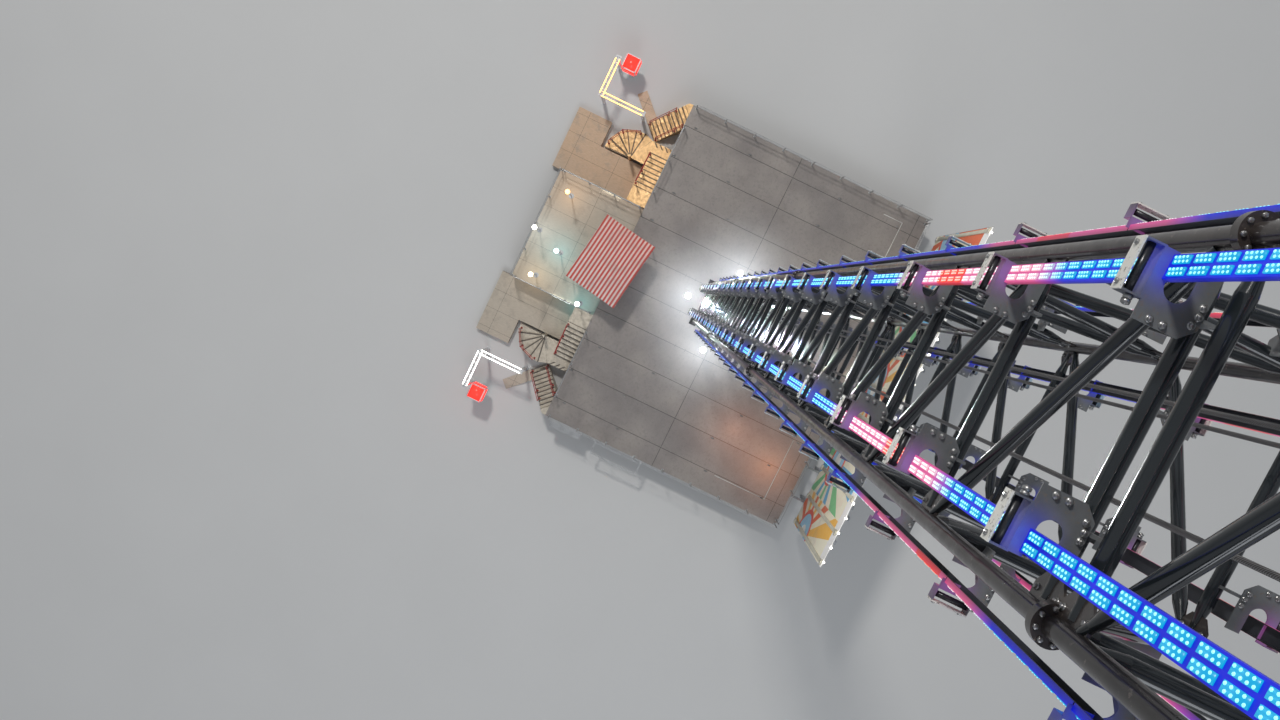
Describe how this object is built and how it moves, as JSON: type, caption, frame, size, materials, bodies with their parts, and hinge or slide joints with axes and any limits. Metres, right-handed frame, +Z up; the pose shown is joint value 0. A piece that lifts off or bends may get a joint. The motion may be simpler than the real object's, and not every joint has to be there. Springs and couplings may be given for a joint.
{
  "type": "drop tower ride, 1:2 scale model",
  "caption": "Fairground drop tower at 1:2: square lattice mast with light panels on all sides, passenger carriage at the top, steel deck, entrance platform, booth and backdrop.",
  "frame": {"origin": "on the ground, on the axis of the mast", "axes": "+Z up, -Y towards the entrance side, +X to the right seen from the entrance"},
  "size_m": [10.7, 12.4, 31.5578],
  "materials": {
    "mast_paint": "semi-gloss paint on steel tube",
    "brace_paint": "glossy dark paint on steel tube",
    "bracket_paint": "worn light grey paint",
    "light_housing": "white sheet with lamp clusters",
    "head_paint": "semi-gloss grey paint",
    "sheave_steel": "machined steel",
    "carriage_paint": "gloss blue paint",
    "roller_rubber": "polyurethane tread",
    "rope_steel": "greased steel rope",
    "restraint_foam": "moulded foam skin",
    "rail_red": "red gloss paint on tube",
    "seat_shell": "moulded shell",
    "frame_paint": "worn dark paint",
    "galvanised": "galvanised steel",
    "deck_plate": "worn chequer plate",
    "platform_board": "coated plywood",
    "tread_plate": "ribbed treads",
    "rail_steel": "galvanised tube",
    "booth_panel": "white coated panel",
    "awning_cloth": "red and white striped cloth",
    "backdrop_panel": "painted panels",
    "lamp_body": "white lamp housing"
  },
  "bodies": {
    "root": {"chord_front_left": "mast_paint", "chord_front_right": "mast_paint", "chord_rear_right": "mast_paint", "chord_rear_left": "mast_paint", "lattice_front": "brace_paint", "lattice_right": "brace_paint", "lattice_rear": "brace_paint", "lattice_left": "brace_paint", "brackets_front": "bracket_paint", "brackets_right": "bracket_paint", "brackets_rear": "bracket_paint", "brackets_left": "bracket_paint", "light_panels_front": "light_housing", "light_panels_right": "light_housing", "light_panels_rear": "light_housing", "light_panels_left": "light_housing", "head_frame": "head_paint", "head_sheaves": "sheave_steel", "hoist_ropes": "rope_steel", "hoist_drum": "sheave_steel", "carriage_frame": "carriage_paint", "guide_rollers": "roller_rubber", "seats_front": "seat_shell", "seats_right": "seat_shell", "seats_rear": "seat_shell", "seats_left": "seat_shell", "restraints": "restraint_foam", "base_frame": "frame_paint", "outriggers": "frame_paint", "jacks": "galvanised", "floor_joists": "galvanised", "floor_legs": "galvanised", "deck_centre": "deck_plate", "deck_left": "deck_plate", "deck_right": "deck_plate", "deck_front": "deck_plate", "deck_rear": "deck_plate", "side_frame": "rail_steel", "front_platform": "platform_board", "landings": "platform_board", "entry_stair": "tread_plate", "exit_stair": "tread_plate", "ramps": "platform_board", "deck_railing": "rail_steel", "platform_railing": "rail_steel", "stair_railing": "rail_red", "light_gates": "lamp_body", "platform_lamps": "lamp_body", "floodlights": "lamp_body", "booth_walls": "booth_panel", "booth_roof": "awning_cloth", "awning_posts": "rail_steel", "backdrop_wall": "backdrop_panel", "backdrop_posts": "galvanised", "backdrop_struts": "galvanised"}
  },
  "joints": []
}
